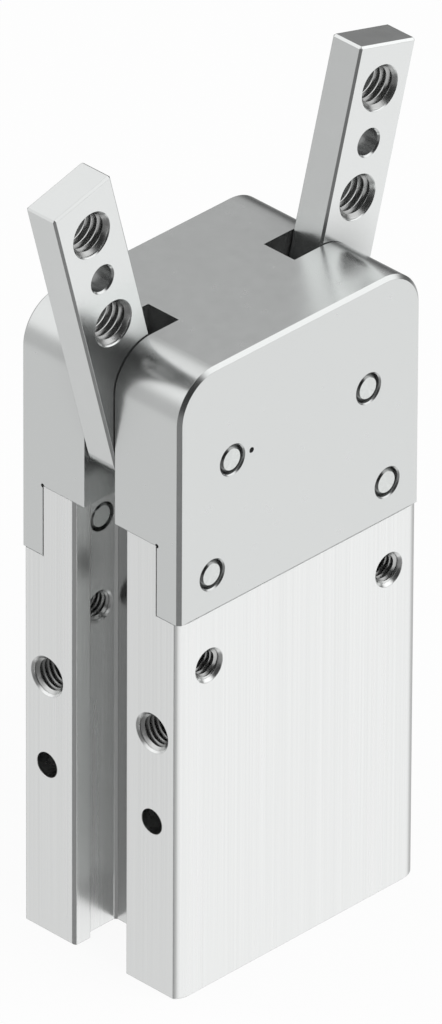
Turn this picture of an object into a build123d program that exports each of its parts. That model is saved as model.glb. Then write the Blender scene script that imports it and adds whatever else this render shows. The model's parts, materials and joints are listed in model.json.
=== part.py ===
from build123d import *

import math
import os

# Two-jaw angular gripper worked by an air piston.
# Origin: centre of the bottom face. +X is the way the right jaw opens, -Y is the front, +Z is up.
# The jaws stand open, as drawn. All lengths are in millimetres and all angles in degrees.

# Head block
head_width = 42.0
head_depth = 27.5
head_rise = 24.5
head_corner = 6.2
head_chamfer = 0.5
foot_chamfer = 0.12
relief_radius = 0.28
vent_radius = 0.38
vent_depth = 3.0
vent_offset = 3.3

# Extruded body and its tongue
body_height = 54.6
tongue_height = 10.15
tongue_depth = 19.5
body_corner = 3.0
body_corner_turn = 45.0
foot_edge = 0.2
cheek_gap = 0.14
tongue_gap = 0.06

# Fastening slots down both sides of the body
slot_mouth = 8.7
slot_inner = 10.6
slot_lip = 2.75
slot_depth = 8.2
slot_floor_corner = 0.35
slot_mouth_chamfer = 0.43

# Threaded, locating and air holes in the body
face_thread = 4.0
face_thread_chamfer = 0.4
face_thread_back_chamfer = 0.3
face_thread_from_side = 5.28
face_thread_height = 46.95
port_thread = 5.0
port_chamfer = 0.3
port_depth = 7.5
port_from_face = 4.6
port_height = 37.4
locator = 3.5
locator_depth = 5.5
locator_height = 24.5
passage = 2.0
passage_above_cap = 1.0
passage_plug_length = 3.0
passage_plug_recess = 0.3

# Pins between head, body and jaws
pin = 4.0
pin_chamfer = 0.57
pin_recess = 0.12
pin_hole_chamfer = 0.2
fixed_gap = 0.01
running_gap = 0.04
lock_pin_from_side = 5.75
lock_pin_height = 5.2

# Jaws and their swing
pivot_from_side = 9.17
pivot_height = 10.05
finger_slot = 5.3
jaw_side_gap = 0.15
jaw_width = 10.0
jaw_length = 40.9
jaw_edge = 0.3
jaw_first_hole = 20.4
jaw_hole_pitch = 7.25
jaw_thread = 6.0
jaw_thread_chamfer = 0.15
jaw_locator = 3.5
jaw_locator_chamfer = 0.25
lobe_radius = 4.4
heel_radius = 4.7
heel_height = 0.4
gusset_height = 1.0
pocket_wall = 1.82
open_angle = 15.0
over_travel = 3.0

# Crosshead and driver pins
driver_from_middle = 3.83
arm_end_radius = 2.9
driver = 3.0
driver_wall = 1.9
driver_slot_play = 0.3
driver_end_gap = 0.2
crosshead_depth = 11.8
crosshead_bridge = 3.2
crosshead_gap = 0.4
cavity_gap = 0.7

# Piston rod and its gland
rod = 8.0
rod_stud = 5.0
rod_spigot = 6.0
rod_free_gap = 0.3
bush_outside = 11.0
bush_length = 12.0
bush_recess = 0.3
gland_outside = 14.0
rod_seal_height = 3.2
retainer_thickness = 1.1
axial_gap = 0.1

# Cylinder bore and piston
bore = 20.0
bore_depth = 38.0
bore_mouth_chamfer = 0.3
piston_gap = 0.1
seal_gap = 0.05
bumper_outside = 16.0
bumper_thickness = 1.2
stop_gap = 0.3
groove_depth = 2.2
piston_seal_height = 2.6
piston_crown = 1.6
guide_height = 3.4
guide_thickness = 1.2
guide_cut = 0.6
magnet_outside = 17.2
magnet_inside = 11.0
magnet_height = 3.6
screw = 4.0
screw_head = 7.0
screw_head_height = 4.0
screw_head_edge = 0.3
screw_length = 12.0
screw_key = 3.0
screw_key_depth = 2.0

# End cap
clip_from_bottom = 1.2
clip_thickness = 1.0
clip_groove_gap = 0.05
clip_groove_depth = 0.5
clip_width = 1.7
clip_opening = 34.0
clip_ear = 1.25
clip_ear_hole = 0.7
cap_thickness = 6.0
cap_seal_section = 1.6
cap_pull_thread = 4.0
cap_pull_depth = 3.5

# Places that follow from the sizes above
step_z = body_height + tongue_height
head_top_z = step_z + head_rise
half_width = head_width / 2
half_depth = head_depth / 2
slot_floor_x = half_width - slot_depth
slot_wall_y = slot_inner / 2
pivot_x = half_width - pivot_from_side
pivot_z = step_z + pivot_height
pocket_x = pivot_x - pocket_wall
lock_pin_x = half_width - lock_pin_from_side
lock_pin_z = body_height + lock_pin_height
face_thread_x = half_width - face_thread_from_side
port_y = half_depth - port_from_face
passage_x = half_width - port_depth

# The driver pin swings as far above the pivot as below it
arm_length = pivot_x - driver_from_middle
swing = open_angle + over_travel
driver_angle = swing / 2
driver_x = pivot_x - arm_length * math.cos(math.radians(driver_angle))
driver_z = pivot_z + arm_length * math.sin(math.radians(driver_angle))
stroke = 2 * (driver_z - pivot_z)

jaw_thickness = finger_slot - 2 * jaw_side_gap
jaw_outer = pivot_from_side
bridge_z = step_z + crosshead_gap + stroke
crosshead_top_z = driver_z + driver / 2 + driver_wall
driver_slot_x = (driver_x + driver_from_middle) / 2
driver_slot_half = driver / 2 + running_gap + driver_slot_play + (driver_x - driver_from_middle) / 2
crosshead_width = 2 * (driver_slot_x + driver_slot_half + driver_wall)
cavity_top_z = crosshead_top_z + cavity_gap
cavity_width = crosshead_width + 2 * cavity_gap
cavity_depth = crosshead_depth + 2 * cavity_gap

cap_z = clip_from_bottom + clip_thickness + axial_gap
cap_top_z = cap_z + cap_thickness
piston_z = cap_top_z + bumper_thickness + stop_gap + stroke
piston_top_z = bore_depth - bumper_thickness - stop_gap
piston_split_z = (piston_z + piston_top_z) / 2
piston_radius = bore / 2 - piston_gap
seal_radius = bore / 2 - seal_gap
groove_radius = piston_radius - groove_depth
gland_depth = rod_seal_height + retainer_thickness + 2 * axial_gap


def drill(radius, length, start, along, chamfer=0.0):
    """A round cutter that starts on a face, with a cone at its mouth where it has a chamfer."""
    plane = Plane(origin=start, z_dir=along)
    cutter = Part() + Solid.make_cylinder(radius, length, plane)
    if chamfer:
        cutter += Solid.make_cone(radius + chamfer, radius, chamfer, plane)
    return cutter


def block(width, depth, low_z, high_z, x=0.0, y=0.0):
    """A box by its width, depth and height span, centred on x and y."""
    base = (Align.CENTER, Align.CENTER, Align.MIN)
    return Pos(x, y, low_z) * Box(width, depth, high_z - low_z, align=base)


def ring(outer, inner, low_z, high_z):
    """A round plate with a round hole on the vertical axis."""
    return extrude(Pos(0, 0, low_z) * (Circle(outer) - Circle(inner)), high_z - low_z)


def rod_bar(radius, low_z, high_z):
    """A plain cylinder on the vertical axis."""
    return extrude(Pos(0, 0, low_z) * Circle(radius), high_z - low_z)


def both_sides(shape):
    """The shape and its mirror image across the middle plane between the jaws."""
    return shape + mirror(shape, Plane.YZ)


def front_and_back(shape):
    """The shape and its mirror image across the middle plane between front and back."""
    return shape + mirror(shape, Plane.XZ)


def fastening_slot():
    """Cutter of the undercut slot in the right side, past both ends of the body."""
    mouth = slot_mouth / 2
    edge = slot_mouth_chamfer
    past = 1.0
    half = [
        (half_width + past, mouth + edge + past),
        (half_width - edge, mouth),
        (half_width - slot_lip, mouth),
        (half_width - slot_lip, slot_wall_y),
        (slot_floor_x + slot_floor_corner, slot_wall_y),
        (slot_floor_x, slot_wall_y - slot_floor_corner),
    ]
    other = [(x, -y) for x, y in reversed(half)]
    section = make_face(Polyline(*half, *other, close=True))
    return extrude(Pos(0, 0, -past) * section, step_z + 2 * past)


def face_thread_hole():
    """Threaded hole from the front face into the right slot, drawn at its outer diameter."""
    wall = half_depth - slot_wall_y
    radius = face_thread / 2
    front = (face_thread_x, -half_depth, face_thread_height)
    back = (face_thread_x, -slot_wall_y, face_thread_height)
    hole = drill(radius, wall, front, (0, 1, 0), face_thread_chamfer)
    return hole + drill(radius, wall, back, (0, -1, 0), face_thread_back_chamfer)


def air_way(port_side, chamber_z, top_z):
    """Port thread, upright passage and the cross hole into one end of the bore."""
    y = port_side * port_y
    port = drill(port_thread / 2, port_depth, (-half_width, y, port_height), (1, 0, 0), port_chamfer)
    upright = drill(passage / 2, top_z, (-passage_x, y, 0), (0, 0, 1))
    reach = math.hypot(passage_x, y) - bore / 2 + passage
    cross = drill(passage / 2, reach, (-passage_x, y, chamber_z), (passage_x, -y, 0))
    return port + upright + cross


def body_outline():
    """Cross-section: each corner is an arc that runs out of the front or back and meets the side at an edge."""
    run = body_corner * math.sin(math.radians(body_corner_turn))
    full_width = 2 * (half_width - run + body_corner)
    return RectangleRounded(full_width, head_depth, body_corner) & Rectangle(head_width, head_depth)


def body_profile():
    body = extrude(body_outline(), body_height)
    body = chamfer(body.faces().sort_by(Axis.Z)[0].outer_wire().edges(), foot_edge)
    body += block(head_width, tongue_depth, body_height / 2, step_z - tongue_gap)
    body -= both_sides(fastening_slot())
    body -= both_sides(front_and_back(face_thread_hole()))

    lower_chamber = cap_top_z + passage_above_cap
    upper_chamber = bore_depth - passage_above_cap
    body -= air_way(-1, lower_chamber, port_height)
    body -= air_way(1, upper_chamber, port_height)
    for side in (-1, 1):
        start = (-half_width, side * port_y, locator_height)
        body -= drill(locator / 2, locator_depth, start, (1, 0, 0))

    body -= drill(bore / 2, bore_depth, (0, 0, 0), (0, 0, 1), bore_mouth_chamfer)
    groove_low = clip_from_bottom - clip_groove_gap
    groove_high = clip_from_bottom + clip_thickness + clip_groove_gap
    body -= rod_bar(bore / 2 + clip_groove_depth, groove_low, groove_high)
    body -= rod_bar(gland_outside / 2, bore_depth, bore_depth + gland_depth)
    body -= rod_bar(rod / 2 + rod_free_gap, bore_depth, step_z)
    body -= rod_bar(bush_outside / 2, step_z - bush_recess - bush_length, step_z)

    wall = half_depth - slot_wall_y
    lock = drill(pin / 2 + fixed_gap, wall, (lock_pin_x, -half_depth, lock_pin_z), (0, 1, 0))
    return body - both_sides(front_and_back(lock))


def head_block():
    height = head_top_z - body_height
    middle_z = body_height + height / 2
    outline = Plane.XZ * (Pos(0, middle_z) * Rectangle(head_width, height))
    head = extrude(outline, half_depth, both=True)
    corners = head.edges().filter_by(Axis.Y).group_by(Axis.Z)[-1]
    head = fillet(corners, head_corner)
    faces = head.faces().filter_by(Axis.Y)
    rim = [edge for face in faces for edge in face.outer_wire().edges()]
    upper = [edge for edge in rim if edge.center().Z > body_height + foot_chamfer]
    head = chamfer(upper, head_chamfer)
    foot = head.faces().sort_by(Axis.Z)[0]
    head = chamfer(foot.edges(), foot_chamfer)

    past = 1.0
    seat_depth = tongue_depth + 2 * cheek_gap
    head -= block(head_width + 2 * past, seat_depth, body_height - past, step_z)
    for side in (-1, 1):
        corner = (-half_width - past, side * seat_depth / 2, step_z)
        head -= drill(relief_radius, head_width + 2 * past, corner, (1, 0, 0))

    head -= block(head_width + 2 * past, finger_slot, step_z, cavity_top_z)
    pocket_length = half_width - pocket_x + past
    pocket = block(pocket_length, finger_slot, step_z, head_top_z + past, pocket_x + pocket_length / 2)
    head -= both_sides(pocket)
    head -= block(cavity_width, cavity_depth, step_z, cavity_top_z)

    radius = pin / 2 + fixed_gap
    pivot = drill(radius, head_depth, (pivot_x, -half_depth, pivot_z), (0, 1, 0), pin_hole_chamfer)
    head -= both_sides(front_and_back(pivot))
    lock = drill(radius, half_depth, (lock_pin_x, -half_depth, lock_pin_z), (0, 1, 0), pin_hole_chamfer)
    head -= both_sides(front_and_back(lock & block(head_width, head_depth, body_height, step_z)))
    head -= drill(vent_radius, vent_depth, (-pivot_x + vent_offset, -half_depth, pivot_z), (0, 1, 0))
    return head


def pin_solid(x, z, low_y, high_y, diameter, end_chamfer):
    """A pin along Y with both ends chamfered."""
    plane = Plane(origin=(x, low_y, z), z_dir=(0, 1, 0))
    solid = Solid.make_cylinder(diameter / 2, high_y - low_y, plane)
    return chamfer(solid.edges().filter_by(GeomType.CIRCLE), end_chamfer)


def pivot_pin():
    end = half_depth - pin_recess
    return pin_solid(pivot_x, pivot_z, -end, end, pin, pin_chamfer)


def lock_pins():
    low = -half_depth + pin_recess
    high = -slot_wall_y - pin_recess
    return both_sides(front_and_back(pin_solid(lock_pin_x, lock_pin_z, low, high, pin, pin_chamfer)))


def driver_pin():
    end = crosshead_depth / 2 - driver_end_gap
    return pin_solid(driver_x, driver_z, -end, end, driver, driver_end_gap)


def belt(centre_a, radius_a, centre_b, radius_b):
    """Flat outline of a belt drawn tight round two circles."""
    run = math.dist(centre_a, centre_b)
    lean = math.atan2(centre_b[1] - centre_a[1], centre_b[0] - centre_a[0])
    touch = math.acos((radius_a - radius_b) / run)
    corners = []
    for centre, radius, order in ((centre_a, radius_a, (1, -1)), (centre_b, radius_b, (-1, 1))):
        for side in order:
            turn = lean + side * touch
            corners.append((centre[0] + radius * math.cos(turn), centre[1] + radius * math.sin(turn)))
    between = make_face(Polyline(*corners, close=True))
    return Pos(*centre_a) * Circle(radius_a) + Pos(*centre_b) * Circle(radius_b) + between


def arm_end():
    """Centre of the driver pin, in the jaw's own frame with the finger upright."""
    turn = math.radians(open_angle - driver_angle)
    return (-arm_length * math.cos(turn), -arm_length * math.sin(turn))


def jaw_outline():
    """Bell crank seen from the front, pivot at the origin, finger upright, outer face towards +X."""
    inner = jaw_outer - jaw_width
    pivot = (0.0, 0.0)
    heel = (jaw_outer - heel_radius, heel_height)
    finger_height = jaw_length - heel_height
    finger = Pos(inner + jaw_width / 2, heel_height + finger_height / 2) * Rectangle(jaw_width, finger_height)
    gusset = make_face(Polyline((inner, 0), (inner, lobe_radius + gusset_height), arm_end(), close=True))
    outline = belt(pivot, lobe_radius, heel, heel_radius) + finger
    return outline + belt(pivot, lobe_radius, arm_end(), arm_end_radius) + gusset


def jaw():
    """Right jaw at rest, swung open about its pivot."""
    solid = extrude(jaw_outline(), jaw_thickness / 2, both=True)
    rims = [edge for face in solid.faces().filter_by(Axis.Z) for edge in face.outer_wire().edges()]
    tips = solid.edges().filter_by(Axis.Z).group_by(Axis.Y)[-1]
    solid = chamfer([*rims, *tips], jaw_edge)
    middle = jaw_outer - jaw_width / 2
    holes = [
        (0.0, 0.0, pin / 2 + running_gap, 0.0),
        (*arm_end(), driver / 2 + fixed_gap, 0.0),
        (middle, jaw_first_hole, jaw_thread / 2, jaw_thread_chamfer),
        (middle, jaw_first_hole + jaw_hole_pitch, jaw_locator / 2, jaw_locator_chamfer),
        (middle, jaw_first_hole + 2 * jaw_hole_pitch, jaw_thread / 2, jaw_thread_chamfer),
    ]
    for x, y, radius, mouth in holes:
        for side in (-1, 1):
            solid -= drill(radius, jaw_thickness, (x, y, side * jaw_thickness / 2), (0, 0, -side), mouth)
    return Pos(pivot_x, 0, pivot_z) * Rot(0, open_angle, 0) * Rot(90, 0, 0) * solid


def crosshead():
    """Fork on the rod's top: a bridge under the jaw arms and a slotted plate on each side of them."""
    fork = block(crosshead_width, crosshead_depth, bridge_z, crosshead_top_z)
    fork = chamfer(fork.edges().filter_by(Axis.Z), cavity_gap)
    fork -= block(crosshead_width, finger_slot, bridge_z + crosshead_bridge, crosshead_top_z)
    slot_height = driver + 2 * running_gap
    slot_face = Plane.XZ * (Pos(driver_slot_x, driver_z) * SlotOverall(2 * driver_slot_half, slot_height))
    fork -= both_sides(extrude(slot_face, crosshead_depth, both=True))
    return fork - rod_bar(rod_stud / 2 + fixed_gap, bridge_z, bridge_z + crosshead_bridge)


def piston_rod():
    """Rod with a stud for the crosshead above and a spigot for the piston below."""
    solid = rod_bar(rod / 2, piston_top_z, bridge_z)
    solid += rod_bar(rod_stud / 2, bridge_z, bridge_z + crosshead_bridge)
    solid += rod_bar(rod_spigot / 2, piston_z + screw_head_height + axial_gap, piston_top_z)
    screw_top = piston_z + screw_head_height + screw_length + axial_gap
    return solid - rod_bar(screw / 2 + fixed_gap, piston_z, screw_top)


def piston_half(low_z, high_z, seal_low_z):
    """One half of the piston, with its seal groove, half of the guide groove and half of the magnet seat."""
    half = ring(piston_radius, rod_spigot / 2 + fixed_gap, low_z, high_z)
    half -= ring(bore, groove_radius, seal_low_z, seal_low_z + piston_seal_height + 2 * axial_gap)
    guide_half = guide_height / 2 + axial_gap
    guide_floor = seal_radius - guide_thickness
    half -= ring(bore, guide_floor, piston_split_z - guide_half, piston_split_z + guide_half)
    magnet_half = magnet_height / 2 + axial_gap
    seat = ring(
        magnet_outside / 2 + axial_gap,
        magnet_inside / 2 - axial_gap,
        piston_split_z - magnet_half,
        piston_split_z + magnet_half,
    )
    return half - seat


def piston_lower():
    half = piston_half(piston_z, piston_split_z, piston_z + piston_crown)
    return half - rod_bar(screw_head / 2 + axial_gap, piston_z, piston_z + screw_head_height + axial_gap)


def piston_upper():
    seal_low = piston_top_z - piston_crown - piston_seal_height - 2 * axial_gap
    return piston_half(piston_split_z, piston_top_z, seal_low)


def lip_seal(outer, inner, low_z, high_z, opens_up):
    """Ring with a cup-shaped groove in the side that faces the pressure."""
    wall = (outer - inner) / 3
    seal = ring(outer, inner, low_z, high_z)
    deep = (high_z - low_z) / 2
    if opens_up:
        return seal - ring(outer - wall, inner + wall, high_z - deep, high_z)
    return seal - ring(outer - wall, inner + wall, low_z, low_z + deep)


def piston_seals():
    inner = groove_radius + fixed_gap
    low = piston_z + piston_crown + axial_gap
    high = piston_top_z - piston_crown - axial_gap
    lower = lip_seal(seal_radius, inner, low, low + piston_seal_height, False)
    return lower + lip_seal(seal_radius, inner, high - piston_seal_height, high, True)


def piston_guide_ring():
    low = piston_split_z - guide_height / 2
    hoop = ring(seal_radius, seal_radius - guide_thickness + fixed_gap, low, low + guide_height)
    return hoop - block(bore, guide_cut, low, low + guide_height, bore / 2)


def magnet_ring():
    low = piston_split_z - magnet_height / 2
    return ring(magnet_outside / 2, magnet_inside / 2, low, low + magnet_height)


def piston_screw():
    """Socket screw that clamps both piston halves to the rod."""
    seat_z = piston_z + screw_head_height
    head = rod_bar(screw_head / 2, piston_z, seat_z)
    head = chamfer(head.edges().filter_by(GeomType.CIRCLE).sort_by(Axis.Z)[0], screw_head_edge)
    key = RegularPolygon(screw_key / 2, 6, major_radius=False)
    head -= extrude(Pos(0, 0, piston_z) * key, screw_key_depth)
    return head + rod_bar(screw / 2, seat_z, seat_z + screw_length)


def rod_bush():
    high = step_z - bush_recess
    return ring(bush_outside / 2 - fixed_gap, rod / 2 + running_gap, high - bush_length, high)


def rod_seal():
    high = bore_depth + gland_depth - axial_gap
    outer = gland_outside / 2 - fixed_gap
    return lip_seal(outer, rod / 2 + running_gap, high - rod_seal_height, high, False)


def seal_retainer():
    outer = gland_outside / 2 - fixed_gap
    return ring(outer, rod / 2 + rod_free_gap, bore_depth, bore_depth + retainer_thickness)


def upper_bumper():
    return ring(bumper_outside / 2, rod / 2 + rod_free_gap, bore_depth - bumper_thickness, bore_depth)


def lower_bumper():
    return ring(bumper_outside / 2, screw_head / 2, cap_top_z, cap_top_z + bumper_thickness)


def cap_seal_radius():
    return bore / 2 - seal_gap - cap_seal_section / 2


def end_cap():
    """Disc that closes the bore, with a seal groove and a pull thread below."""
    middle = cap_z + cap_thickness / 2
    half_groove = cap_seal_section / 2 + axial_gap
    cap = rod_bar(bore / 2 - fixed_gap, cap_z, cap_top_z)
    cap -= ring(bore, bore / 2 - seal_gap - cap_seal_section, middle - half_groove, middle + half_groove)
    return cap - drill(cap_pull_thread / 2, cap_pull_depth, (0, 0, cap_z), (0, 0, 1), face_thread_chamfer)


def end_cap_seal():
    return Pos(0, 0, cap_z + cap_thickness / 2) * Torus(cap_seal_radius(), cap_seal_section / 2 - fixed_gap)


def retaining_ring():
    """Open spring ring in its groove, with an eye at each end."""
    outer = bore / 2 + clip_groove_depth - clip_groove_gap
    band = Circle(outer) - Circle(outer - clip_width)
    reach = 2 * outer
    half = math.radians(clip_opening / 2)
    side_x = reach * math.cos(half)
    side_y = reach * math.sin(half)
    band -= make_face(Polyline((0, 0), (side_x, side_y), (side_x, -side_y), close=True))
    eye_from_axis = bore / 2 - clip_width - clip_ear / 2
    eye_turn = clip_opening / 2 + math.degrees(clip_ear / eye_from_axis)
    for turn in (-eye_turn, eye_turn):
        place = Rot(0, 0, turn) * Pos(eye_from_axis, 0)
        band += place * Circle(clip_ear)
        band -= place * Circle(clip_ear_hole)
    return extrude(Pos(0, 0, clip_from_bottom) * band, clip_thickness)


def passage_plugs():
    """One plug in the open lower end of each upright air passage."""
    low = passage_plug_recess
    plug = extrude(Pos(-passage_x, port_y, low) * Circle(passage / 2 - fixed_gap), passage_plug_length)
    return front_and_back(plug)


parts = {
    "body_profile": body_profile(),
    "head_block": head_block(),
    "jaw_right": jaw(),
    "jaw_left": mirror(jaw(), Plane.YZ),
    "pivot_pin_right": pivot_pin(),
    "pivot_pin_left": mirror(pivot_pin(), Plane.YZ),
    "lock_pins": lock_pins(),
    "driver_pin_right": driver_pin(),
    "driver_pin_left": mirror(driver_pin(), Plane.YZ),
    "crosshead": crosshead(),
    "piston_rod": piston_rod(),
    "piston_upper": piston_upper(),
    "piston_lower": piston_lower(),
    "piston_seals": piston_seals(),
    "piston_guide_ring": piston_guide_ring(),
    "magnet_ring": magnet_ring(),
    "piston_screw": piston_screw(),
    "rod_bush": rod_bush(),
    "rod_seal": rod_seal(),
    "seal_retainer": seal_retainer(),
    "upper_bumper": upper_bumper(),
    "lower_bumper": lower_bumper(),
    "end_cap": end_cap(),
    "end_cap_seal": end_cap_seal(),
    "retaining_ring": retaining_ring(),
    "passage_plugs": passage_plugs(),
}

os.makedirs("parts", exist_ok=True)
for name, shape in parts.items():
    export_step(shape, f"parts/{name}.step")

print("pivot", round(pivot_x, 4), round(pivot_z, 4), "driver", round(driver_x, 4), round(driver_z, 4))
print("stroke", round(stroke, 4), "per radian", round(stroke / math.radians(swing), 5))
print("piston", round(piston_z, 3), round(piston_top_z, 3), "top of head", round(head_top_z, 3))
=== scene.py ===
import json
import math

import bpy
from mathutils import Euler, Matrix, Vector


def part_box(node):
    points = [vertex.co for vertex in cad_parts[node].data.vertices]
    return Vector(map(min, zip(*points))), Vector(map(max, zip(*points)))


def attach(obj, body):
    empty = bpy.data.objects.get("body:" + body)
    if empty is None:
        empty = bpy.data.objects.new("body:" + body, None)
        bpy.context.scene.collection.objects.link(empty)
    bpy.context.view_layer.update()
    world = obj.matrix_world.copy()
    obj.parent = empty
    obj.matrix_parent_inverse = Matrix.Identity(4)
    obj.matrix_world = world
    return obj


# Two-jaw angular gripper: its finishes and thread turns, the camera and the studio.
# Lengths are in metres and angles in degrees.
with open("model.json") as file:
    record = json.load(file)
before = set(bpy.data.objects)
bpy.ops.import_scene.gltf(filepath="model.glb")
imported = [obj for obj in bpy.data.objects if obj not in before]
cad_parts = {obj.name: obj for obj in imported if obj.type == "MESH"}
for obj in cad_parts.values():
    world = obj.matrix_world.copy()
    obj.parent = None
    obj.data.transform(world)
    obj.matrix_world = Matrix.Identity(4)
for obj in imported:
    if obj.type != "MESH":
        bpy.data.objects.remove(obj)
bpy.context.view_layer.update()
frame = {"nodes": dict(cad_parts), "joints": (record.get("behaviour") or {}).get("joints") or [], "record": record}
bpy.ops.object.select_all(action="DESELECT")
nodes = frame["nodes"]
mounts = {mount["name"]: mount for mount in frame["record"]["mounts"]}

mm = 0.001

# Camera, fitted to the photograph
camera_azimuth = -45.30
camera_elevation = 31.78
camera_roll = 0.27
camera_distance = 2.455
camera_lens = 700.0
camera_near = 0.1
camera_far = 20.0
camera_aim = Vector((2.00, 1.88, 54.43)) * mm

# Machining marks: detail of the noise, and the factor that spreads it from about -1 to 1
grain_detail = 3.0
grain_spread = 3.0

# Metal: share of the broad marks in the tone, and what they add to the roughness
broad_share = 0.6
broad_roughness = 0.04

# How open a place is, by the mask of the painted shade, where it mirrors least and where it mirrors fully
open_from = 0.1
open_to = 0.8
gap_samples = 12
edge_samples = 6

# Tapped holes: green of their metal against its red and blue
tapped_green = 1.01

# Rubber, plastic and magnet
soft_roughness = 0.05
soft_relief = 0.01 * mm
soft_relief_strength = 0.6

# Pins: turning marks, sectors of painted sheen, and painted shade on the ring that the chamfer leaves round the
# end face
pin_colour = (0.75, 0.77, 0.76, 1.0)
pin_roughness = 0.24
pin_ring_spacing = 0.2 * mm
pin_ring_tone = 0.02
pin_ring_relief = 0.0008 * mm
pin_sector_size = 0.35
pin_sector_painted_sheen = 0.12
pin_sector_roughness = 0.05
pin_edge = 0.60 * mm
pin_edge_blend = 0.1 * mm
pin_edge_painted_shade = 0.5

# Thread form: height and widths of a ridge as shares of the pitch, how far it sinks into the wall,
# and the turns that are wound past each end of the hole before it is cut
ridge_height = 0.54
ridge_root = 0.86
ridge_crest = 0.11
ridge_sink = 0.02 * mm
lead_turns = 2
steps_per_turn = 48
cone_sides = 96
cone_past = 4 * mm
cut_tolerance = 1e-7
smooth_angle = 28.0

# Slopes along the hole's axis by which a ridge's faces are told apart
crest_slope = 0.3
cone_slope = math.sqrt(0.5)
cone_slope_margin = 0.03

# Jaws
finger_lean = 15.0
jaw_pitch = 1.0 * mm
jaw_mouth = 0.15 * mm
left_thread_turn = 160.0
right_thread_turn = 232.0

# Body threads
port_pitch = 0.8 * mm
port_mouth = 0.3 * mm
port_thread_depth = 7.0 * mm
port_turn = 70.0
face_pitch = 0.7 * mm
face_mouth = 0.4 * mm
face_back_mouth = 0.3 * mm
face_wall = 8.35 * mm
face_turn = 250.0
cap_thread_radius = 2.0 * mm
cap_thread_depth = 3.2 * mm
cap_thread_turn = 0.0

# Studio
world_light = 0.75
floor_size = 40.0
floor_level = 0.8
floor_white = 0.93
tent_radius = 1.6
tent_segments = 64
tent_rings = 32
tent_level = 0.55
key_azimuth = 10
key_elevation = 50
key_distance = 1.2
key_size = 0.8
key_power = 6.0


def place_camera():
    data = bpy.data.cameras.new("camera")
    data.lens = camera_lens
    data.clip_start = camera_near
    data.clip_end = camera_far
    camera = bpy.data.objects.new("camera", data)
    bpy.context.scene.collection.objects.link(camera)
    look = Euler((math.radians(90 - camera_elevation), 0, math.radians(camera_azimuth))).to_matrix()
    turn = look @ Matrix.Rotation(math.radians(camera_roll), 3, "Z")
    back = turn @ Vector((0, 0, 1))
    camera.matrix_world = Matrix.Translation(camera_aim + back * camera_distance) @ turn.to_4x4()
    bpy.context.scene.camera = camera


# Node helpers


def add(tree, kind, **settings):
    """A node of the given kind, with its settings."""
    node = tree.nodes.new("ShaderNode" + kind)
    for name, value in settings.items():
        setattr(node, name, value)
    return node


def feed(tree, value, socket):
    """Links an output to a socket, or sets the socket to a plain value."""
    if isinstance(value, bpy.types.NodeSocket):
        tree.links.new(value, socket)
    else:
        socket.default_value = value


def math_of(tree, operation, *values):
    node = add(tree, "Math", operation=operation)
    for value, socket in zip(values, node.inputs):
        feed(tree, value, socket)
    return node.outputs["Value"]


def vector_of(tree, operation, output, *values):
    node = add(tree, "VectorMath", operation=operation)
    for value, socket in zip(values, node.inputs):
        feed(tree, value, socket)
    return node.outputs[output]


def scaled(tree, vector, factor):
    """A vector or colour times a number."""
    node = add(tree, "VectorMath", operation="SCALE")
    feed(tree, vector, node.inputs["Vector"])
    feed(tree, factor, node.inputs["Scale"])
    return node.outputs["Vector"]


def ramp(tree, value, low, high, out_low=0.0, out_high=1.0):
    """A smooth step of the value, from one level to another."""
    node = add(tree, "MapRange", interpolation_type="SMOOTHSTEP")
    for socket, given in zip(node.inputs, (value, low, high, out_low, out_high)):
        feed(tree, given, socket)
    return node.outputs["Result"]


def grey(level):
    return (level, level, level, 1.0)


def even(size):
    return (size, size, size)


def new_group(name, inputs, outputs):
    """An empty node group; inputs and outputs are lists of (name, socket kind, starting value)."""
    tree = bpy.data.node_groups.new(name, "ShaderNodeTree")
    for in_out, sockets in (("INPUT", inputs), ("OUTPUT", outputs)):
        for label, kind, start in sockets:
            socket = tree.interface.new_socket(label, in_out=in_out, socket_type="NodeSocket" + kind)
            if start is not None:
                socket.default_value = start
    enter = tree.nodes.new("NodeGroupInput")
    leave = tree.nodes.new("NodeGroupOutput")
    return tree, enter.outputs, leave.inputs


def place_group(tree, group, **values):
    node = add(tree, "Group", node_tree=group)
    for name, value in values.items():
        feed(tree, value, node.inputs[name.replace("_", " ").capitalize()])
    return node.outputs


def grain_group():
    """Machining marks: noise stretched by the size of a mark along each axis, from about -1 to 1."""
    tree, enter, leave = new_group(
        "machining_grain",
        [("Place", "Vector", None), ("Mark size", "Vector", even(1 * mm)), ("Seed", "Float", 0.0)],
        [("Mark", "Float", None)],
    )
    stretched = vector_of(tree, "DIVIDE", "Vector", enter["Place"], enter["Mark size"])
    noise = add(tree, "TexNoise", noise_dimensions="4D")
    noise.inputs["Detail"].default_value = grain_detail
    noise.inputs["Scale"].default_value = 1.0
    feed(tree, stretched, noise.inputs["Vector"])
    feed(tree, enter["Seed"], noise.inputs["W"])
    centred = math_of(tree, "SUBTRACT", noise.outputs["Fac"], 0.5)
    feed(tree, math_of(tree, "MULTIPLY", centred, grain_spread), leave["Mark"])
    return tree


def toned_group():
    """A colour made lighter or darker by a mark."""
    tree, enter, leave = new_group(
        "toned_by_mark",
        [("Colour", "Color", grey(0.8)), ("Mark", "Float", 0.0), ("Amount", "Float", 0.05)],
        [("Colour", "Color", None)],
    )
    shift = math_of(tree, "MULTIPLY_ADD", enter["Mark"], enter["Amount"], 1.0)
    feed(tree, scaled(tree, enter["Colour"], shift), leave["Colour"])
    return tree


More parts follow.
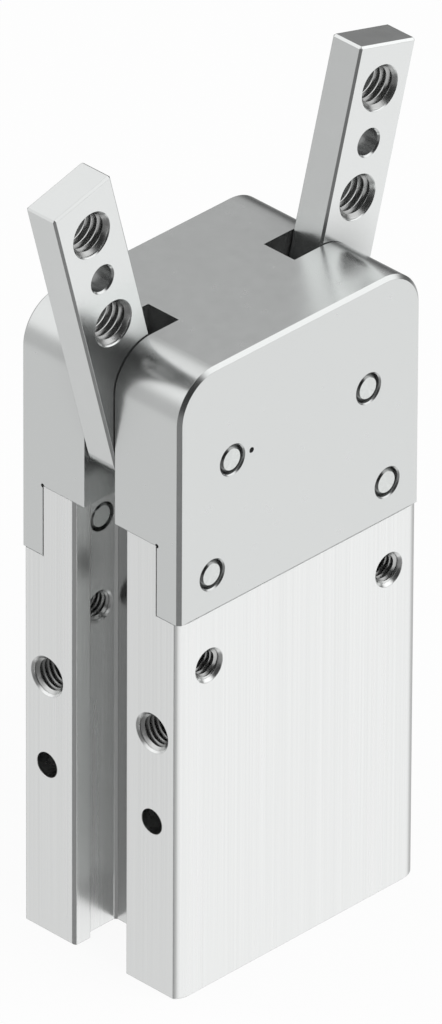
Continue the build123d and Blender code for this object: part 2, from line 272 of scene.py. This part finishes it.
def painted_shade_group(name, own_walls_only):
    """Painted shade: a colour that darkens in holes, slots and gaps, where a clean metal mirrors only dark walls.
    """
    tree, enter, leave = new_group(
        name,
        [
            ("Colour", "Color", grey(0.8)),
            ("Reach", "Float", 6 * mm),
            ("Depth", "Float", 1.0),
            ("Least", "Float", 0.1),
        ],
        [("Colour", "Color", None), ("Open", "Float", None)],
    )
    around = add(tree, "AmbientOcclusion", samples=gap_samples, only_local=own_walls_only)
    feed(tree, enter["Reach"], around.inputs["Distance"])
    opened = math_of(tree, "POWER", around.outputs["AO"], enter["Depth"])
    kept = math_of(tree, "MAXIMUM", opened, enter["Least"])
    feed(tree, scaled(tree, enter["Colour"], kept), leave["Colour"])
    feed(tree, opened, leave["Open"])
    return tree


grain = grain_group()
toned = toned_group()
# Painted shade in the hollows of a part's own walls, and where it meets other parts and the floor.
painted_hollow_shade = painted_shade_group("painted_shade_in_hollows", own_walls_only=True)
painted_shade_between_parts = painted_shade_group("painted_shade_at_touching_parts", own_walls_only=False)


# Finishes


def new_material(name):
    """A material with its tree, its shader and the place on the object that its patterns read."""
    material = bpy.data.materials.new(name)
    material.use_nodes = True
    tree = material.node_tree
    shader = tree.nodes["Principled BSDF"]
    place = add(tree, "TexCoord").outputs["Object"]
    return material, tree, shader, place


def toned_by(tree, colour, mark, amount):
    return place_group(tree, toned, colour=colour, mark=mark, amount=amount)["Colour"]


def bump_from(tree, height, strength, distance, edge=0.0):
    """Relief from a height. Edges are rounded by a small radius where one is given."""
    bump = add(tree, "Bump")
    if edge:
        rounded = add(tree, "Bevel", samples=edge_samples)
        rounded.inputs["Radius"].default_value = edge
        tree.links.new(rounded.outputs["Normal"], bump.inputs["Normal"])
    bump.inputs["Strength"].default_value = strength
    bump.inputs["Distance"].default_value = distance
    feed(tree, height, bump.inputs["Height"])
    return bump.outputs["Normal"]


def metal(
    name,
    colour,
    roughness,
    marks,
    tone=0.04,
    relief=0.002 * mm,
    reach=5 * mm,
    depth=1.3,
    least=0.06,
    edge=0.0,
    shade=painted_hollow_shade,
    hidden_metallic=0.7,
):
    """Bare or anodised metal: two sizes of machining mark vary its colour, roughness and relief.

    Deep in holes and slots its colour is darkened by painted shade, and it mirrors less, because the light there
    is scattered by the walls.
    """
    material, tree, shader, place = new_material(name)
    fine = place_group(tree, grain, place=place, mark_size=marks[0], seed=1.0)["Mark"]
    broad = place_group(tree, grain, place=place, mark_size=marks[1], seed=7.0)["Mark"]
    marked = toned_by(tree, (*colour, 1.0), fine, tone)
    marked = toned_by(tree, marked, broad, tone * broad_share)
    shaded = place_group(tree, shade, colour=marked, reach=reach, depth=depth, least=least)
    feed(tree, shaded["Colour"], shader.inputs["Base Color"])
    rough = math_of(tree, "MULTIPLY_ADD", broad, broad_roughness, roughness)
    feed(tree, rough, shader.inputs["Roughness"])
    feed(tree, bump_from(tree, fine, 1.0, relief, edge), shader.inputs["Normal"])
    metallic = ramp(tree, shaded["Open"], open_from, open_to, hidden_metallic, 1.0)
    feed(tree, metallic, shader.inputs["Metallic"])
    return material


def soft_material(name, colour, roughness, mark, tone=0.1):
    """Rubber, plastic or bonded magnet: one even grain in colour, roughness and relief."""
    material, tree, shader, place = new_material(name)
    fine = place_group(tree, grain, place=place, mark_size=even(mark), seed=3.0)["Mark"]
    feed(tree, toned_by(tree, (*colour, 1.0), fine, tone), shader.inputs["Base Color"])
    rough = math_of(tree, "MULTIPLY_ADD", fine, soft_roughness, roughness)
    feed(tree, rough, shader.inputs["Roughness"])
    feed(tree, bump_from(tree, fine, soft_relief_strength, soft_relief), shader.inputs["Normal"])
    return material


def body_aluminium():
    """Drawn and anodised: long upright marks."""
    return metal(
        "body_aluminium",
        colour=(0.915, 0.925, 0.92),
        roughness=0.26,
        marks=((0.3 * mm, 0.3 * mm, 80 * mm), (1.6 * mm, 1.6 * mm, 120 * mm)),
        tone=0.045,
        relief=0.0008 * mm,
        reach=12 * mm,
        depth=0.16,
        edge=0.16 * mm,
        hidden_metallic=0.5,
    )


def head_aluminium():
    """Fine matt aluminium, a little darker than the body."""
    return metal(
        "head_aluminium",
        colour=(0.745, 0.76, 0.755),
        roughness=0.25,
        marks=(even(0.12 * mm), even(1.5 * mm)),
        tone=0.025,
        relief=0.0004 * mm,
        reach=7 * mm,
        depth=0.40,
        least=0.15,
        edge=0.06 * mm,
        shade=painted_shade_between_parts,
        hidden_metallic=0.45,
    )


def jaw_steel():
    """Ground steel."""
    return metal(
        "jaw_steel",
        colour=(0.825, 0.84, 0.835),
        roughness=0.19,
        marks=(even(0.15 * mm), even(2.0 * mm)),
        tone=0.025,
        relief=0.0005 * mm,
        reach=6 * mm,
        depth=0.75,
        edge=0.06 * mm,
        shade=painted_shade_between_parts,
    )


def tapped(name, level, depth):
    """Ridges of a tapped hole, in lit and shaded copies of one metal: the level is painted light and shade, and
    the depth deepens the painted shade between the ridges. Their crests are bright, and their flanks mirror each
    other.
    """
    return metal(
        name,
        colour=(level, level * tapped_green, level),
        roughness=0.26,
        marks=(even(0.12 * mm), even(0.8 * mm)),
        tone=0.05,
        reach=1.2 * mm,
        depth=depth,
        least=0.25,
    )


def pin_steel(name, centre_x, centre_z):
    """Turned steel pin: faint rings round its own axis, sectors of painted sheen, and painted shade on the
    chamfer's ring and where parts meet. Both sides share it by mirror.
    """
    material, tree, shader, place = new_material(name)
    split = add(tree, "SeparateXYZ")
    feed(tree, place, split.inputs["Vector"])
    across = math_of(tree, "SUBTRACT", math_of(tree, "ABSOLUTE", split.outputs["X"]), centre_x)
    up = math_of(tree, "SUBTRACT", split.outputs["Z"], centre_z)
    flat = add(tree, "CombineXYZ")
    feed(tree, across, flat.inputs["X"])
    feed(tree, up, flat.inputs["Y"])
    radius = vector_of(tree, "LENGTH", "Value", flat.outputs["Vector"])
    rings = math_of(tree, "SINE", math_of(tree, "MULTIPLY", radius, math.tau / pin_ring_spacing))
    direction = vector_of(tree, "NORMALIZE", "Vector", flat.outputs["Vector"])
    # The sectors tone the colour as a painted sheen, the bow-tie highlight of a turned face, and vary the
    # roughness.
    sector_marks_and_painted_sheen = place_group(tree, grain, place=direction, mark_size=even(pin_sector_size), seed=5.0)["Mark"]
    marked = toned_by(tree, pin_colour, rings, pin_ring_tone)
    marked = toned_by(tree, marked, sector_marks_and_painted_sheen, pin_sector_painted_sheen)
    # Painted shade: the colour darkens on the chamfer's ring round the end face.
    end_radius = pin_radius - pin_edge
    rim = ramp(tree, radius, end_radius, end_radius + pin_edge_blend, 0.0, -1.0)
    marked = toned_by(tree, marked, rim, pin_edge_painted_shade)
    shaded = place_group(tree, painted_shade_between_parts, colour=marked, reach=0.7 * mm, depth=0.4, least=0.3)
    feed(tree, shaded["Colour"], shader.inputs["Base Color"])
    rough = math_of(tree, "MULTIPLY_ADD", sector_marks_and_painted_sheen, pin_sector_roughness, pin_roughness)
    feed(tree, rough, shader.inputs["Roughness"])
    feed(tree, bump_from(tree, rings, 1.0, pin_ring_relief), shader.inputs["Normal"])
    shader.inputs["Metallic"].default_value = 1.0
    return material


def finishes():
    """Every finish by the name of its slot in the frame, and those of the thread ridges."""
    turned = (even(0.1 * mm), even(1.0 * mm))
    return {
        "body_aluminium": body_aluminium(),
        "head_aluminium": head_aluminium(),
        "jaw_steel": jaw_steel(),
        # Thread ridges, as lit and shaded copies of one metal: the crests' lighter levels are a painted highlight,
        # the steel mouths' darker level is painted shade, the aluminium mouths' lighter level is painted light,
        # and the flanks carry painted shade between the ridges.
        "tapped_steel": tapped("tapped_steel", 0.60, 0.8),
        "tapped_aluminium": tapped("tapped_aluminium", 0.60, 0.7),
        "steel_crest_painted_highlight": tapped("steel_crest_painted_highlight", 0.78, 0.25),
        "steel_mouth_painted_shade": tapped("steel_mouth_painted_shade", 0.52, 0.4),
        "aluminium_mouth_painted_light": tapped("aluminium_mouth_painted_light", 0.66, 0.4),
        "aluminium_crest_painted_highlight": tapped("aluminium_crest_painted_highlight", 0.62, 0.2),
        "inner_steel": metal("inner_steel", (0.62, 0.62, 0.61), 0.3, turned),
        "rod_steel": metal("rod_steel", (0.82, 0.82, 0.82), 0.12, turned, tone=0.015),
        "inner_aluminium": metal("inner_aluminium", (0.74, 0.74, 0.74), 0.32, turned),
        "bush_bronze": metal("bush_bronze", (0.66, 0.50, 0.27), 0.34, turned, tone=0.08),
        "spring_steel": metal("spring_steel", (0.30, 0.30, 0.31), 0.3, turned, tone=0.06),
        "seal_rubber": soft_material("seal_rubber", (0.030, 0.030, 0.031), 0.45, 0.3 * mm),
        "bumper_rubber": soft_material("bumper_rubber", (0.055, 0.055, 0.057), 0.6, 0.4 * mm),
        "guide_plastic": soft_material("guide_plastic", (0.66, 0.62, 0.54), 0.5, 0.5 * mm),
        "magnet": soft_material("magnet", (0.10, 0.095, 0.095), 0.5, 0.25 * mm, tone=0.25),
    }


finish = finishes()
pin_low, pin_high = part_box("pivot_pin_right")
pin_radius = (pin_high.x - pin_low.x) / 2
pivot_at = frame["joints"][1]["pos_m"]
lock_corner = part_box("lock_pins")[1]
pivot_finish = pin_steel("pivot_pin_steel", pivot_at[0], pivot_at[2])
lock_finish = pin_steel("lock_pin_steel", lock_corner.x - pin_radius, lock_corner.z - pin_radius)


def dress_nodes():
    """Gives each node's slots their finish. Pivot pins and lock pins have finishes of their own."""
    for name, node in nodes.items():
        for material_slot in node.material_slots:
            kind = material_slot.material.name.split(".")[0]
            if name.startswith("pivot_pin"):
                material_slot.material = pivot_finish
            elif name == "lock_pins":
                material_slot.material = lock_finish
            else:
                material_slot.material = finish.get(kind, finish["inner_steel"])


# Thread turns


def ridge_profile(radius, pitch, low):
    """Section of one ridge beside the vertical axis: wide at the wall, narrow at the crest."""
    height = ridge_height * pitch + ridge_sink
    root = ridge_root * pitch
    middle = radius + ridge_sink - height / 2
    bpy.ops.mesh.primitive_plane_add(size=root, rotation=(math.pi / 2, 0, 0))
    bpy.ops.object.transform_apply(location=True, rotation=True, scale=True)
    profile = bpy.context.object
    bpy.ops.object.mode_set(mode="EDIT")
    bpy.ops.mesh.select_all(action="SELECT")
    bpy.ops.transform.resize(value=(height / root, 1, 1))
    bpy.ops.transform.translate(value=(middle, 0, 0))
    bpy.ops.object.mode_set(mode="OBJECT")
    for vertex in profile.data.vertices:
        vertex.select = vertex.co.x < middle
    for edge in profile.data.edges:
        edge.select = all(profile.data.vertices[i].select for i in edge.vertices)
    for face in profile.data.polygons:
        face.select = False
    bpy.ops.object.mode_set(mode="EDIT")
    bpy.ops.transform.resize(value=(1, 1, ridge_crest / ridge_root))
    bpy.ops.mesh.select_all(action="SELECT")
    bpy.ops.transform.translate(value=(0, 0, low))
    bpy.ops.mesh.delete(type="ONLY_FACE")
    bpy.ops.object.mode_set(mode="OBJECT")
    return profile


def wind(piece, pitch, depth):
    """Sweeps the ridge's section into its turns, past both ends of the hole."""
    screw = piece.modifiers.new("turns", "SCREW")
    screw.screw_offset = pitch
    screw.iterations = math.ceil(depth / pitch) + 2 * lead_turns
    screw.steps = steps_per_turn
    screw.render_steps = steps_per_turn
    screw.use_smooth_shade = False
    bpy.ops.object.modifier_apply(modifier=screw.name)


def cap_ends():
    """Closes both open ends of the swept ridge."""
    bpy.ops.object.mode_set(mode="EDIT")
    bpy.ops.mesh.select_all(action="SELECT")
    bpy.ops.mesh.fill_holes(sides=4)
    bpy.ops.mesh.normals_make_consistent(inside=False)
    bpy.ops.object.mode_set(mode="OBJECT")


def cut_level(depth):
    """Cuts off what lies deeper than a level plane and closes the cut."""
    bpy.ops.object.mode_set(mode="EDIT")
    bpy.ops.mesh.select_all(action="SELECT")
    bpy.ops.mesh.bisect(
        plane_co=(0, 0, depth),
        plane_no=(0, 0, 1),
        use_fill=True,
        clear_outer=True,
        threshold=cut_tolerance,
    )
    bpy.ops.object.mode_set(mode="OBJECT")


def cut_cone(piece, radius, mouth, face, outward):
    """Cuts the ridge back to the countersink of a face, whose rim is wider than the hole by the mouth."""
    reach = radius + mouth + cone_past
    middle = face + outward * (cone_past - reach / 2)
    flip = math.pi if outward > 0 else 0.0
    bpy.ops.mesh.primitive_cone_add(
        vertices=cone_sides,
        radius1=reach,
        radius2=0,
        depth=reach,
        location=(0, 0, middle),
        rotation=(flip, 0, 0),
    )
    cone = bpy.context.object
    cutter = piece.modifiers.new("cone", "BOOLEAN")
    cutter.operation = "DIFFERENCE"
    cutter.solver = "EXACT"
    cutter.object = cone
    bpy.context.view_layer.objects.active = piece
    bpy.ops.object.modifier_apply(modifier=cutter.name)
    bpy.data.objects.remove(cone)


def dress_ridge(piece, metals):
    """Flanks, crests and the cuts that continue a countersink each take their own lit or shaded copy of the metal,
    by slope.
    """
    for name in metals[:3]:
        piece.data.materials.append(finish[name])
    for face in piece.data.polygons:
        slope = abs(face.normal.z)
        if slope < crest_slope:
            face.material_index = 1
        elif abs(slope - cone_slope) < cone_slope_margin:
            face.material_index = 2


def thread_turns(name, body, metals, hole, pitch, depth, mouths, turned):
    """Ridges of a tapped hole. The hole is its place, its direction inwards and its radius.

    The metals are those of the flanks, the crests and the mouths. The fourth name, the slot in the
    frame of the part round the hole, is not used.
    """
    place, along, radius = hole
    bpy.ops.object.select_all(action="DESELECT")
    piece = ridge_profile(radius, pitch, -lead_turns * pitch)
    piece.name = name
    wind(piece, pitch, depth)
    cap_ends()
    cut_cone(piece, radius, mouths[0], 0, -1)
    if len(mouths) == 2:
        cut_cone(piece, radius, mouths[1], depth, 1)
    else:
        cut_level(depth)
    bpy.ops.object.select_all(action="DESELECT")
    piece.select_set(True)
    bpy.ops.object.shade_smooth_by_angle(angle=math.radians(smooth_angle))
    dress_ridge(piece, metals)
    turn = Vector((0, 0, 1)).rotation_difference(Vector(along)).to_matrix()
    turn = turn @ Matrix.Rotation(math.radians(turned), 3, "Z")
    piece.matrix_world = Matrix.Translation(Vector(place)) @ turn.to_4x4()
    bpy.ops.object.transform_apply(location=True, rotation=True, scale=True)
    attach(piece, body)


steel_thread = ("tapped_steel", "steel_crest_painted_highlight", "steel_mouth_painted_shade", "jaw_steel")
body_thread = ("tapped_aluminium", "aluminium_crest_painted_highlight", "aluminium_mouth_painted_light", "body_aluminium")
inner_thread = ("tapped_aluminium", "aluminium_crest_painted_highlight", "aluminium_mouth_painted_light", "inner_aluminium")


def jaw_threads():
    """Two tapped holes in each finger, one on each side of its locating hole."""
    low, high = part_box("jaw_right")
    thickness = high.y - low.y
    mouths = (jaw_mouth, jaw_mouth)
    lean = math.radians(finger_lean)
    for side, name, turned in ((-1, "left", left_thread_turn), (1, "right", right_thread_turn)):
        mount = mounts[f"jaw_{name}_threads"]
        centre = Vector(mount["pos_m"])
        radius = mount["dims"]["hole_r_mm"] * mm
        half = mount["dims"]["pcd_mm"] * mm / 2
        up = Vector((side * math.sin(lean), 0, math.cos(lean)))
        for place, offset in (("lower", -half), ("upper", half)):
            piece_name = f"jaw_{name}_{place}_thread"
            hole = (centre + up * offset, (0, 1, 0), radius)
            body = f"{name}_jaw"
            thread_turns(piece_name, body, steel_thread, hole, jaw_pitch, thickness, mouths, turned)


def port_threads():
    """Tapped air ports in the side of the body."""
    ports = mounts["air_ports"]
    half = ports["dims"]["spacing_x_mm"] * mm / 2
    for name, side in (("front", -1), ("back", 1)):
        place = Vector(ports["pos_m"])
        place.y = side * half
        hole = (place, (1, 0, 0), ports["dims"]["hole_r_mm"] * mm)
        piece_name = f"air_port_{name}_thread"
        mouths = (port_mouth,)
        depth = port_thread_depth
        thread_turns(piece_name, "housing", body_thread, hole, port_pitch, depth, mouths, port_turn)


def face_threads():
    """Tapped fastening holes that go through the front and back walls of the body."""
    mouths = (face_mouth, face_back_mouth)
    for face, inward in (("front", 1), ("rear", -1)):
        mount = mounts[f"{face}_threads"]
        half = mount["dims"]["spacing_x_mm"] * mm / 2
        for name, side in (("left", -1), ("right", 1)):
            place = Vector(mount["pos_m"])
            place.x = side * half
            hole = (place, (0, inward, 0), mount["dims"]["hole_r_mm"] * mm)
            piece_name = f"{face}_{name}_thread"
            thread_turns(piece_name, "housing", body_thread, hole, face_pitch, face_wall, mouths, face_turn)


def cap_thread():
    """Pull thread in the middle of the end cap."""
    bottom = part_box("end_cap")[0].z
    hole = ((0, 0, bottom), (0, 0, 1), cap_thread_radius)
    mouths = (face_mouth,)
    depth = cap_thread_depth
    thread_turns("end_cap_thread", "housing", inner_thread, hole, face_pitch, depth, mouths, cap_thread_turn)


# Studio


def is_seen_plainly(tree):
    """1 for rays from the camera, from a mirror and through glass."""
    path = add(tree, "LightPath")
    first = math_of(tree, "MAXIMUM", path.outputs["Is Camera Ray"], path.outputs["Is Glossy Ray"])
    return math_of(tree, "MAXIMUM", first, path.outputs["Is Transmission Ray"])


def white_surround():
    """A world that is white to look at and lights the object at a plain level."""
    world = bpy.data.worlds.new("surround")
    bpy.context.scene.world = world
    world.use_nodes = True
    tree = world.node_tree
    background = tree.nodes["Background"]
    background.inputs["Color"].default_value = grey(1.0)
    strength = ramp(tree, is_seen_plainly(tree), 0.0, 1.0, world_light, 1.0)
    feed(tree, strength, background.inputs["Strength"])


def pale_floor():
    """A pale floor that keeps a faint shadow of the object."""
    bpy.ops.mesh.primitive_plane_add(size=floor_size, location=(0, 0, 0))
    floor = bpy.context.object
    floor.name = "floor"
    material, tree, shader, _ = new_material("pale_floor")
    shader.inputs["Base Color"].default_value = grey(floor_level)
    shader.inputs["Roughness"].default_value = 1.0
    shader.inputs["Specular IOR Level"].default_value = 0.0
    glow = add(tree, "Emission")
    glow.inputs["Color"].default_value = grey(1.0)
    glow.inputs["Strength"].default_value = 1.0
    mixer = add(tree, "MixShader")
    feed(tree, ramp(tree, is_seen_plainly(tree), 0.0, 1.0, 0.0, floor_white), mixer.inputs["Fac"])
    tree.links.new(shader.outputs["BSDF"], mixer.inputs[1])
    tree.links.new(glow.outputs["Emission"], mixer.inputs[2])
    tree.links.new(mixer.outputs["Shader"], tree.nodes["Material Output"].inputs["Surface"])
    floor.data.materials.append(material)
    floor.visible_glossy = False


# Panels of the light tent that the metal mirrors: azimuth and elevation of the middle as seen from
# the object, half width, half height, softness of the rim, and light level. Later ones lie on top.
tent_panels = (
    ("front right pale ground", -45, -40, 80, 40, 24, 0.94),
    ("back left ground", 135, -40, 75, 40, 30, 0.725),
    ("low back ground", 84, -36, 24, 26, 16, 0.30),
    ("back left horizon", 146, -6, 26, 10, 14, 0.57),
    ("dark left ground", -151, -34, 31, 34, 18, 0.215),
    ("back right ground", 45, -30, 56, 30, 24, 0.48),
    ("overhead cloth", 90, 58, 180, 18, 18, 0.95),
    ("dark zenith", 0, 90, 180, 14, 12, 0.12),
    ("back left cloth", 122, 40, 45, 23, 22, 1.02),
    ("front right box", -38, 38, 28, 20, 14, 1.22),
    ("back right wall", 45, 28, 35, 16, 12, 0.46),
    ("dark right horizon", 20, 1, 48, 13, 14, 0.12),
    ("dark front horizon", -70, 5, 60, 7, 10, 0.10),
    ("dim room on the left", -142, 26, 24, 30, 14, 0.18),
    ("dark room behind the camera", -108, 28, 30, 32, 14, 0.04),
)


def inside_band(tree, distance, half_size, rim):
    """1 within a half size and 0 outside it, with a soft rim."""
    half, soft = math.radians(half_size), math.radians(rim) / 2
    return ramp(tree, distance, half - soft, half + soft, 1.0, 0.0)


def panelled_level(tree, azimuth, elevation):
    """The tent's light level in a direction: its own level with every panel laid over it."""
    level = tent_level
    for name, middle, height, half_width, half_height, rim, panel_level in tent_panels:
        apart = math_of(tree, "SUBTRACT", azimuth, math.radians(middle))
        beside = math_of(tree, "ABSOLUTE", math_of(tree, "WRAP", apart, math.pi, -math.pi))
        above = math_of(tree, "ABSOLUTE", math_of(tree, "SUBTRACT", elevation, math.radians(height)))
        within_width = inside_band(tree, beside, half_width, rim)
        within_height = inside_band(tree, above, half_height, rim)
        share = math_of(tree, "MULTIPLY", within_width, within_height)
        mixer = add(tree, "Mix", data_type="FLOAT", label=name)
        feed(tree, share, mixer.inputs["Factor"])
        feed(tree, level, mixer.inputs["A"])
        feed(tree, panel_level, mixer.inputs["B"])
        level = mixer.outputs["Result"]
    return level


def light_tent():
    """A large tent round the object, seen only by mirroring rays."""
    bpy.ops.mesh.primitive_uv_sphere_add(
        segments=tent_segments,
        ring_count=tent_rings,
        radius=tent_radius,
        location=(0, 0, 0),
    )
    tent = bpy.context.object
    tent.name = "light_tent"
    material, tree, _, place = new_material("tent_cloth")
    split = add(tree, "SeparateXYZ")
    feed(tree, vector_of(tree, "NORMALIZE", "Vector", place), split.inputs["Vector"])
    azimuth = math_of(tree, "ARCTAN2", split.outputs["Y"], split.outputs["X"])
    elevation = math_of(tree, "ARCSINE", split.outputs["Z"])
    level = panelled_level(tree, azimuth, elevation)
    glow = add(tree, "Emission")
    feed(tree, level, glow.inputs["Strength"])
    tree.links.new(glow.outputs["Emission"], tree.nodes["Material Output"].inputs["Surface"])
    tent.data.materials.append(material)
    tent.visible_camera = False
    tent.visible_diffuse = False
    tent.visible_transmission = False
    tent.visible_volume_scatter = False
    tent.visible_shadow = False


def key_lamp():
    """A large square lamp above that looks at the object."""
    data = bpy.data.lights.new("key", "AREA")
    data.size = key_size
    data.energy = key_power
    lamp = bpy.data.objects.new("key", data)
    bpy.context.scene.collection.objects.link(lamp)
    turn = Euler((math.radians(90 - key_elevation), 0, math.radians(key_azimuth))).to_matrix()
    back = turn @ Vector((0, 0, 1))
    lamp.matrix_world = Matrix.Translation(camera_aim + back * key_distance) @ turn.to_4x4()
    lamp.visible_glossy = False


place_camera()
dress_nodes()
jaw_threads()
port_threads()
face_threads()
cap_thread()
white_surround()
pale_floor()
light_tent()
key_lamp()
bpy.context.scene.view_settings.view_transform = "Standard"
